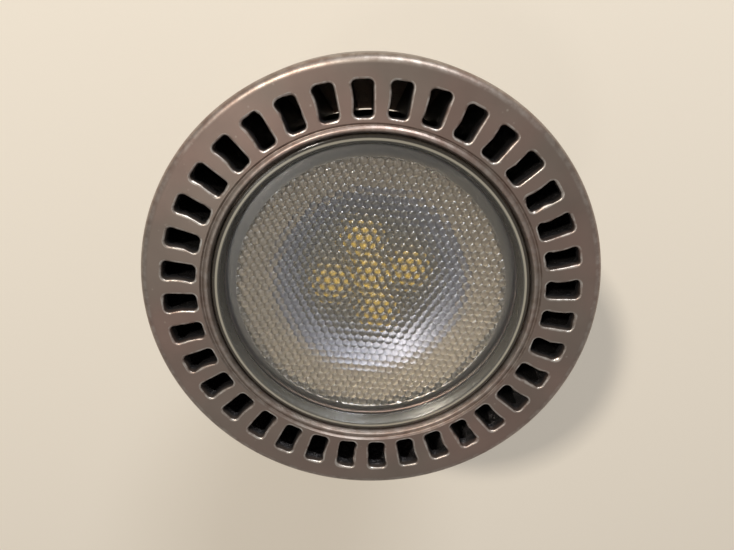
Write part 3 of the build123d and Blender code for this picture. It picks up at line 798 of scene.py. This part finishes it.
def casting_sector(ring, cast):
    """One sector of the casting's skin, centred on a slot, and the fin on its far side."""
    bm = bmesh.new()
    wear_and_highlight = bm.verts.layers.float.new("edge_wear")
    half = math.pi / ring.slot_count
    angles = [half * (step / 4 - 1) for step in range(9)]
    under_z = FACE_Z - ring.thickness
    rim_low = FACE_Z - cast.rim_height
    shell_low = FACE_Z - cast.shell_height
    inner = RIM_RADIUS - cast.shell_wall
    floor_z = FACE_Z - cast.chamber_depth
    cavity_z = floor_z - cast.floor_thickness
    soft = 0.25 * MM

    skin = [point for point in envelope(cast, 0, 16) if point[1] > shell_low]
    skin_low = (cast.shell_edge_radius, shell_low)
    outer_path = [(RIM_RADIUS - 2.3 * ring.lip, FACE_Z, 0), (RIM_RADIUS, FACE_Z, ring.lip)]
    outer_path += [(x, z, 0) for x, z in skin]
    outer_path += [(*skin_low, soft), (skin_low[0] - cast.shell_wall, shell_low, soft)]
    outer_path += [(x - cast.shell_wall, z, 0) for x, z in reversed(skin)]
    outer_path += [(inner, under_z, 0)]
    outer = sweep_section(bm, soften(outer_path, 6), angles)

    flare_low = cavity_z - cast.hub_skirt - cast.hub_flare
    hub_path = [
        (cast.hub_radius, under_z, 0),
        (cast.hub_radius, flare_low + cast.hub_flare, 0.8 * MM),
        (cast.neck_radius, flare_low, 0.8 * MM),
        (cast.neck_radius, NECK_Z, soft),
        (cast.cavity_radius, NECK_Z, soft),
        (cast.cavity_radius, cavity_z, 0),
    ]
    hub = sweep_section(bm, soften(hub_path), angles)

    bead_foot = cast.recess_radius + cast.bead_width
    bead_top = cast.recess_radius + 0.4 * cast.bead_width
    recess_path = [
        (bead_foot + cast.groove_width + 0.03 * MM, FACE_Z, 0),
        (bead_foot + cast.groove_width, FACE_Z, 0.1 * MM),
        (bead_foot + 0.3 * cast.groove_width, FACE_Z - cast.groove_depth, 0.06 * MM),
        (bead_foot, FACE_Z - cast.groove_depth, 0.06 * MM),
        (bead_top + 0.14 * MM, FACE_Z - 0.01 * MM, 0.3 * MM),
        (bead_top - 0.1 * MM, FACE_Z - 0.01 * MM, 0.2 * MM),
        (cast.recess_radius, FACE_Z - 0.55 * MM, 0.2 * MM),
        (cast.recess_radius, RECESS_Z, 0),
        (cast.chamber_radius, RECESS_Z, 0.12 * MM),
        (cast.chamber_radius, floor_z, 0),
    ]
    recess = sweep_section(bm, soften(recess_path), angles)

    outline = slot_outline(ring)
    edge = ring.slot_edge
    rows = [(edge + 0.04 * MM, 0.0)]
    for step in range(5):
        lean = math.pi / 2 * step / 4
        rows.append((edge * (1 - math.sin(lean)), -edge * (1 - math.cos(lean))))
    rows.append((0.0, -ring.thickness))
    loops = []
    for offset, drop in rows:
        loops.append([bm.verts.new((*(spot + into * offset), FACE_Z + drop)) for spot, into in outline])
    # Worn edges with a painted highlight: strongest at each slot's inner end, fainter on the bead, the lip
    # and the shell's edge
    for loop in loops[1:5]:
        for vert in loop:
            vert[wear_and_highlight] = 0.9 if vert.co.x < ring.slot_inner_radius else 0.5
    for column in recess + outer:
        for vert in column:
            low_edge = abs(vert.co.z - shell_low) < soft
            vert[wear_and_highlight] = 0.2 if FACE_Z - 0.7 * MM < vert.co.z < FACE_Z - 0.005 * MM or low_edge else 0.0
    for upper, lower in zip(loops, loops[1:]):
        bridge(bm, lower, upper)

    for inner_row, outer_row, hole in (
        ([column[0] for column in recess], [column[0] for column in outer], loops[0]),
        ([column[0] for column in hub], [column[-1] for column in outer], loops[-1]),
    ):
        edges = loop_edges(bm, inner_row, False) + loop_edges(bm, outer_row, False) + loop_edges(bm, hole)
        edges += loop_edges(bm, [inner_row[0], outer_row[0]], False)
        edges += loop_edges(bm, [inner_row[-1], outer_row[-1]], False)
        bmesh.ops.triangle_fill(bm, edges=edges, use_beauty=True, normal=(0, 0, 1))

    add_fin(bm, ring, cast, half)
    mesh = bpy.data.meshes.new("casting_sector")
    bm.to_mesh(mesh)
    bm.free()
    return mesh


def add_fin(bm, ring, cast, angle):
    """One fin as a closed plate with a softened outer edge, run into the hub, the shell and the ring."""
    floor_z = FACE_Z - cast.chamber_depth
    cavity_z = floor_z - cast.floor_thickness
    top_z = FACE_Z - ring.thickness / 2
    root = (cast.cavity_radius + cast.neck_radius) / 2
    deep = cast.hub_radius - cast.shell_wall / 2
    outer = envelope(cast, cast.fin_inset, 14)
    inside = [
        (root, NECK_Z + cast.neck_height - cast.neck_step),
        (root, cavity_z),
        (deep, floor_z),
        (deep, top_z),
        (RIM_RADIUS - cast.shell_wall / 2, top_z),
        (RIM_RADIUS - cast.shell_wall / 2, FACE_Z - cast.rim_height),
    ]
    outline = outer + inside
    cos, sin = math.cos(angle), math.sin(angle)

    def row(across, pull):
        """The fin's outline at one side step, its outer edge pulled in."""
        points = []
        for index, (radius, z) in enumerate(outline):
            radius -= pull if index < len(outer) else 0
            points.append(bm.verts.new((radius * cos - across * sin, radius * sin + across * cos, z)))
        return points

    half = cast.fin_thickness / 2
    soft = 0.3 * MM
    steps = [(-half, soft), (-half + 0.09 * MM, 0.09 * MM), (-half + soft, 0.0)]
    steps += [(-across, pull) for across, pull in reversed(steps)]
    rows = [row(across, pull) for across, pull in steps]
    for lower, upper in zip(rows, rows[1:]):
        bridge(bm, lower, upper)
    for side in (rows[0], rows[-1]):
        bmesh.ops.triangle_fill(bm, edges=loop_edges(bm, side), use_beauty=True)


def close_casting_floor(bm, cast):
    """The chamber's floor with its screw and lead holes, set into the open ring of sectors."""
    floor_z = FACE_Z - cast.chamber_depth
    cavity_z = floor_z - cast.floor_thickness
    open_edges = [edge for edge in bm.edges if edge.is_boundary]
    top = [edge for edge in open_edges if abs(edge.verts[0].co.z - floor_z) < 0.01 * MM]
    under = [edge for edge in open_edges if abs(edge.verts[0].co.z - cavity_z) < 0.01 * MM]

    def sink(centre, radius, low):
        """A hole's wall from the floor down to a height, and its lower ring."""
        upper = ring_of_points(bm, centre, radius, floor_z, HOLE_STEPS)
        lower = ring_of_points(bm, centre, radius, low, HOLE_STEPS)
        bridge(bm, lower, upper)
        top.extend(loop_edges(bm, upper))
        return lower

    for side in (-1, 1):
        through = sink((side * cast.lead_spacing / 2, -cast.lead_offset), cast.lead_hole, cavity_z)
        under += loop_edges(bm, through)
        screw = heading(math.radians(45) + (side < 0) * math.pi) * cast.screw_circle
        bm.faces.new(sink(screw, cast.screw_hole, floor_z - cast.screw_depth))
    for edges in (top, under):
        bmesh.ops.triangle_fill(bm, edges=edges, use_beauty=True, normal=(0, 0, 1))


def wander(place):
    """A push of up to about 1 each way that is the same in every run, as noise_vector's isn't."""
    return Vector([noise.noise(place + Vector((0, 0, apart))) for apart in (0, 40, 80)])


def ruffle_slots(bm, ring):
    """Lets the slots' edges wander a little, more in some slots than in others, as casting flash does."""
    low, high = ring.slot_inner_radius - ring.slot_edge, ring.slot_outer_radius + ring.slot_edge
    for vert in bm.verts:
        drop = FACE_Z - vert.co.z
        if 0.04 * MM < drop < ring.thickness + 0.01 * MM and low < math.hypot(vert.co.x, vert.co.y) < high:
            patch = 0.5 + noise.noise(vert.co * 150)
            shift = wander(vert.co * 1500) * (ring.flash * max(0.2, patch))
            shift.z *= 0.5
            vert.co += shift * min(1, drop / ring.slot_edge)


class SPOTLIGHT_OT_casting(bpy.types.Operator):
    """Build the vented, finned casting"""

    bl_idname = "spotlight.casting"
    bl_label = "Vented Casting"

    def execute(self, context):
        ring = context.scene.vent_ring_sizes
        cast = context.scene.casting_sizes
        material = casting_material(context.scene.lamp_finishes, cast)
        piece = new_piece("vented_casting", casting_sector(ring, cast))
        values = {"Count": ring.slot_count, "Phase": ring.slot_phase, "Material": material}
        grow(piece, sector_ring_tree(), values)
        bm = bmesh.new()
        bm.from_mesh(piece.data)
        bmesh.ops.remove_doubles(bm, verts=bm.verts, dist=MERGE)
        close_casting_floor(bm, cast)
        ruffle_slots(bm, ring)
        finish_mesh(bm, piece.data)
        dress(piece, "heat_sink")
        return {"FINISHED"}


# The lens


def field_edge(lens):
    """The radii at which the bevel's foot and the pebbled field end."""
    margin_radius = LENS_RADIUS - lens.rim_width - lens.bevel_width
    return margin_radius, margin_radius - lens.margin


def pebble_disc(lens, radius, z):
    """A flat disc whose mesh follows the pebbles' cells and ends on the field's circle."""
    step = lens.pitch / (math.sqrt(3) * lens.cell_steps)
    clear = 0.35 * step
    reach = int(radius / step * 1.3) + 2
    places = []
    for i in range(-reach, reach + 1):
        x = i * step * math.sqrt(3) / 2
        for j in range(-2 * reach, 2 * reach + 1):
            y = (j + (i % 2) / 2) * step
            if math.hypot(x, y) < radius - clear:
                places.append(Vector((x, y)))
    count = 720
    circle = [math.tau * k / count for k in range(count)]
    inside = len(places)
    places += [Vector((radius * math.cos(t), radius * math.sin(t))) for t in circle]
    edges = [(inside + k, inside + (k + 1) % count) for k in range(count)]
    verts, _, faces, *_ = geometry.delaunay_2d_cdt(places, edges, [], 1, 1e-9, False)
    mesh = bpy.data.meshes.new("pebble_disc")
    mesh.from_pydata([(x, y, z) for x, y in verts], [], faces)
    return mesh


class SPOTLIGHT_OT_lens(bpy.types.Operator):
    """Build the clear lens with its pebbled field"""

    bl_idname = "spotlight.lens"
    bl_label = "Pebbled Lens"

    def execute(self, context):
        lens = context.scene.lens_sizes
        finishes = context.scene.lamp_finishes
        plate_z = RECESS_Z + lens.plate
        margin_radius, field_radius = field_edge(lens)
        piece = new_piece("pebbled_lens", pebble_disc(lens, field_radius, plate_z + lens.pebble_base))
        values = {"Pitch": lens.pitch, "Crown": lens.crown, "Material": lens_material(finishes)}
        grow(piece, pebble_tree(), values)
        bm = bmesh.new()
        bm.from_mesh(piece.data)
        bmesh.ops.rotate(bm, verts=bm.verts, matrix=Matrix.Rotation(lens.pebble_turn, 3, "Z"))
        border = [edge for edge in bm.edges if edge.is_boundary]
        rim = sorted({vert for edge in border for vert in edge.verts}, key=lambda vert: bearing(vert.co))
        turns = [bearing(vert.co) for vert in rim]
        path = [
            (field_radius, plate_z, 0),
            (margin_radius, plate_z, 0.15 * MM),
            (LENS_RADIUS - lens.rim_width, LENS_TOP_Z, 0.2 * MM),
            (LENS_RADIUS, LENS_TOP_Z, 0.2 * MM),
            (LENS_RADIUS, RECESS_Z, 0.1 * MM),
            (field_radius, RECESS_Z, 0),
            (0, RECESS_Z, 0),
        ]
        columns = sweep_section(bm, soften(path, 4), turns, close=True)
        bridge(bm, [column[0] for column in columns], rim)
        finish_mesh(bm, piece.data, 50)
        piece.data.materials.append(lens_rim_material(finishes, LENS_RADIUS - lens.rim_width / 2))
        for face in piece.data.polygons:
            face.material_index = int(face.center.xy.length > margin_radius)
        dress(piece, "lens")
        return {"FINISHED"}


class SPOTLIGHT_OT_light_engine(bpy.types.Operator):
    """Build the reflector and finish the light board with its light sources"""

    bl_idname = "spotlight.light_engine"
    bl_label = "Light Engine"

    def execute(self, context):
        sizes = context.scene.reflector_sizes
        finishes = context.scene.lamp_finishes
        low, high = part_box("reflector")
        step_z = BOARD_TOP_Z + sizes.step_height
        stub_z = BOARD_TOP_Z + sizes.stub
        soft = 0.15 * MM
        section = [
            (sizes.mouth_radius + sizes.wall / 2, low.z, 0),
            (sizes.mouth_radius, low.z, soft),
            (sizes.mouth_radius, stub_z, 0.3 * MM),
            (sizes.step_radius, step_z, 0.3 * MM),
            (high.x - sizes.wall, high.z, soft),
            (high.x, high.z, soft),
            (high.x, high.z - sizes.wall, soft),
            (sizes.step_radius + sizes.wall, step_z - sizes.wall, soft),
            (sizes.mouth_radius + sizes.wall, stub_z, soft),
            (sizes.mouth_radius + sizes.wall, low.z, soft),
            (sizes.mouth_radius + sizes.wall / 2, low.z, 0),
        ]
        _, field_radius = field_edge(context.scene.lens_sizes)
        metal = reflector_material(finishes, sizes.step_radius, field_radius)
        dress(lathe(soften(section), "bright_reflector", metal, 144), "reflector")
        board = grained_material("Board Mask", tuple(finishes.board), 0.45)
        paint_node("led_board", board)
        ceramic = grained_material("Source Ceramic", tuple(finishes.package), 0.4)
        phosphor = grained_material("Yellow Phosphor", tuple(finishes.phosphor), 0.3, grain_scale=9000.0)
        for name in PACKAGES:
            paint_node(name, ceramic)
        for name in PHOSPHORS:
            paint_node(name, phosphor)
        paint_node("board_screws", grained_material("Zinc Screws", (0.55, 0.55, 0.54), 0.35, 0.9))
        paint_node("thermal_pad", grained_material("Soft Pad", (0.30, 0.31, 0.33), 0.8))
        return {"FINISHED"}


def oblong_loop(bm, radius, z, reach, count=96):
    """A row of points round an oblong of the given end radius, its ends moved out by the reach."""
    row = []
    for step in range(count):
        x, y = radius * heading(math.tau * (step + 0.5) / count)
        row.append(bm.verts.new((x + math.copysign(reach, x), y, z)))
    return row


def moulded_base(sizes, material):
    """The oblong pin block, its shoulder, flange and collar, open inside and with two pin holes."""
    bm = bmesh.new()
    base_z = sizes.pin_length
    shoulder_z = base_z + sizes.block_height
    flange_z = shoulder_z + sizes.shoulder_height
    neck_z = flange_z + sizes.flange_height
    top_z = neck_z + sizes.collar_height
    half = sizes.block_width / 2
    reach = (sizes.block_length - sizes.block_width) / 2
    soft = 0.3 * MM
    block = [
        (half - 2 * sizes.block_edge, base_z, 0),
        (half - sizes.block_edge, base_z, soft),
        (half, base_z + sizes.block_edge, soft),
        (half, shoulder_z, 0),
    ]
    head = [
        (sizes.shoulder_foot - 0.5 * MM, shoulder_z, 0),
        (sizes.shoulder_foot, shoulder_z, soft),
        (sizes.flange_radius, flange_z, soft),
        (sizes.flange_radius, neck_z, soft),
        (sizes.collar_radius, neck_z, 0),
        (sizes.collar_radius, top_z, soft),
        (sizes.collar_radius - sizes.wall, top_z, soft),
        (sizes.collar_radius - sizes.wall, flange_z, 0),
    ]
    cavity = [(half - sizes.wall, flange_z), (half - sizes.wall, base_z + sizes.floor)]
    rows = [oblong_loop(bm, radius, z, reach) for radius, z in soften(block)]
    rows += [oblong_loop(bm, radius, z, 0) for radius, z in soften(head)]
    rows += [oblong_loop(bm, radius, z, reach) for radius, z in cavity]
    for lower, upper in zip(rows, rows[1:]):
        bridge(bm, lower, upper)
    under, over = loop_edges(bm, rows[0]), loop_edges(bm, rows[-1])
    for side in (-1, 1):
        centre = (side * sizes.pin_spacing / 2, 0)
        low_ring, high_ring = [
            ring_of_points(bm, centre, sizes.pin_shank + sizes.pin_gap, z, PIN_STEPS)
            for z in (base_z, base_z + sizes.floor)
        ]
        bridge(bm, low_ring, high_ring)
        under += loop_edges(bm, low_ring)
        over += loop_edges(bm, high_ring)
    for edges in (under, over):
        bmesh.ops.triangle_fill(bm, edges=edges, use_beauty=True, normal=(0, 0, 1))
    return piece_from(bm, "moulded_base", material)


def contact_pin(sizes, side, material):
    """One mushroom-headed contact pin with its shank, rivet and tail."""
    floor_z = sizes.pin_length + sizes.floor
    rivet_z = floor_z + sizes.rivet_height
    tail_z = rivet_z + sizes.pin_tail
    section = [
        (0, 0, 0),
        (sizes.pin_head, 0, 0.4 * MM),
        (sizes.pin_head, sizes.pin_head_height - 0.4 * MM, 0.2 * MM),
        (sizes.pin_neck, sizes.pin_head_height, 0.15 * MM),
        (sizes.pin_neck, sizes.pin_length, 0),
        (sizes.pin_shank, sizes.pin_length, 0),
        (sizes.pin_shank, floor_z, 0),
        (sizes.rivet_radius, floor_z, 0),
        (sizes.rivet_radius, rivet_z, 0.15 * MM),
        (sizes.pin_shank, rivet_z, 0),
        (sizes.pin_shank, tail_z, 0.15 * MM),
        (0, tail_z, 0),
    ]
    name = "contact_pin_left" if side < 0 else "contact_pin_right"
    pin = lathe(soften(section), name, material, 48)
    pin.data.transform(Matrix.Translation((side * sizes.pin_spacing / 2, 0, 0)))
    return pin


class SPOTLIGHT_OT_base(bpy.types.Operator):
    """Build the moulded base and its two contact pins"""

    bl_idname = "spotlight.base"
    bl_label = "Base and Pins"

    def execute(self, context):
        finishes = context.scene.lamp_finishes
        sizes = context.scene.base_sizes
        plastic = grained_material("Moulded Base", tuple(finishes.base), 0.5, grain_depth=0.25)
        dress(moulded_base(sizes, plastic), "base_housing")
        nickel = grained_material("Pin Nickel", tuple(finishes.pin), 0.22, 1.0, cloud=0.05)
        for side, node in ((-1, "pin_left"), (1, "pin_right")):
            dress(contact_pin(sizes, side, nickel), node)
        return {"FINISHED"}


class SPOTLIGHT_OT_driver(bpy.types.Operator):
    """Finish the driver inside the neck"""

    bl_idname = "spotlight.driver"
    bl_label = "Driver Inside"

    def execute(self, context):
        finishes = {
            "driver_cup": ("Liner Plastic", (0.62, 0.62, 0.60), 0.5, 0.0),
            "driver_board": ("Green Laminate", (0.03, 0.12, 0.05), 0.4, 0.0),
            "bulk_capacitor": ("Black Sleeve", (0.02, 0.02, 0.03), 0.3, 0.0),
            "choke_core": ("Ferrite", (0.03, 0.03, 0.03), 0.6, 0.0),
            "choke_winding": ("Copper Wire", (0.55, 0.22, 0.08), 0.3, 0.9),
            "film_capacitor": ("Film Yellow", (0.62, 0.36, 0.03), 0.35, 0.0),
            "fuse_resistor": ("Resistor Coat", (0.26, 0.38, 0.42), 0.5, 0.0),
            "driver_chip": ("Chip Moulding", (0.02, 0.02, 0.02), 0.55, 0.0),
            "bridge_rectifier": ("Rectifier Moulding", (0.02, 0.02, 0.02), 0.5, 0.0),
            "led_lead_positive": ("Red Wire", (0.40, 0.02, 0.02), 0.5, 0.0),
            "led_lead_negative": ("Black Wire", (0.02, 0.02, 0.02), 0.5, 0.0),
            "mains_lead_left": ("White Wire", (0.65, 0.65, 0.62), 0.5, 0.0),
            "mains_lead_right": ("White Wire Right", (0.65, 0.65, 0.62), 0.5, 0.0),
        }
        for name, (label, base, roughness, metallic) in finishes.items():
            paint_node(name, grained_material(label, base, roughness, metallic))
        return {"FINISHED"}


# The studio


def area_light(name, spot, target, size, watts, tone):
    """A soft square light aimed at a place."""
    data = bpy.data.lights.new(name, "AREA")
    data.shape = "SQUARE"
    data.size = size
    data.energy = watts
    data.color = tone
    lamp = new_piece(name, data)
    lamp.location = spot
    lamp.rotation_euler = (target - Vector(spot)).to_track_quat("-Z", "Y").to_euler()


class SPOTLIGHT_OT_studio(bpy.types.Operator):
    """Set up the floor, the soft lights and the camera"""

    bl_idname = "spotlight.studio"
    bl_label = "Studio"

    def execute(self, context):
        studio = context.scene.studio_settings
        scene = context.scene
        bm = bmesh.new()
        bmesh.ops.create_grid(bm, x_segments=1, y_segments=1, size=studio.floor_reach)
        material, _, _ = new_material("Pale Floor", tuple(studio.floor), 0.9)
        floor = piece_from(bm, "floor", material)

        target = Vector((0, 0, FACE_Z))
        key_place = target + KEY_WAY.normalized() * studio.key_distance
        for name, spot in (("key", key_place), ("fill", studio.fill_place), ("top", studio.top_place)):
            size, watts, tone = (getattr(studio, f"{name}_{value}") for value in ("size", "power", "tone"))
            area_light(name, spot, target, size, watts, tone)

        world = bpy.data.worlds.new("Even Sky")
        world.use_nodes = True
        sky = world.node_tree.nodes["Background"]
        fill(world.node_tree, sky, Color=(*studio.sky_tone, 1), Strength=studio.sky)
        scene.world = world

        data = bpy.data.cameras.new("camera")
        data.lens = studio.lens_length
        data.sensor_width = 36
        data.clip_start = 0.005
        camera = new_piece("camera", data)
        camera.location = studio.camera_place
        camera.rotation_euler = studio.camera_turn
        scene.camera = camera
        scene.view_settings.view_transform = "Standard"
        return {"FINISHED"}


class SPOTLIGHT_PT_panel(bpy.types.Panel):
    """Lists the pieces of the spotlight bulb"""

    bl_idname = "SPOTLIGHT_PT_panel"
    bl_label = "Spotlight Bulb"
    bl_space_type = "VIEW_3D"
    bl_region_type = "UI"
    bl_category = "Spotlight"

    def draw(self, context):
        for step in STEPS:
            self.layout.operator(step.bl_idname)


SIZES = {
    "vent_ring_sizes": VentRingSizes,
    "casting_sizes": CastingSizes,
    "lens_sizes": LensSizes,
    "reflector_sizes": ReflectorSizes,
    "base_sizes": BaseSizes,
    "lamp_finishes": LampFinishes,
    "studio_settings": StudioSettings,
}
STEPS = (
    SPOTLIGHT_OT_casting,
    SPOTLIGHT_OT_lens,
    SPOTLIGHT_OT_light_engine,
    SPOTLIGHT_OT_base,
    SPOTLIGHT_OT_driver,
    SPOTLIGHT_OT_studio,
)


def register():
    """Registers the groups, the operators and the panel."""
    for name, group in SIZES.items():
        bpy.utils.register_class(group)
        setattr(bpy.types.Scene, name, bpy.props.PointerProperty(type=group))
    for step in STEPS:
        bpy.utils.register_class(step)
    bpy.utils.register_class(SPOTLIGHT_PT_panel)


def unregister():
    """Takes everything back out."""
    bpy.utils.unregister_class(SPOTLIGHT_PT_panel)
    for step in reversed(STEPS):
        bpy.utils.unregister_class(step)
    for name, group in reversed(SIZES.items()):
        delattr(bpy.types.Scene, name)
        bpy.utils.unregister_class(group)


def main():
    """Builds the whole scene."""
    register()
    bpy.ops.spotlight.casting()
    bpy.ops.spotlight.lens()
    bpy.ops.spotlight.light_engine()
    bpy.ops.spotlight.base()
    bpy.ops.spotlight.driver()
    bpy.ops.spotlight.studio()


if __name__ == "__main__":
    main()
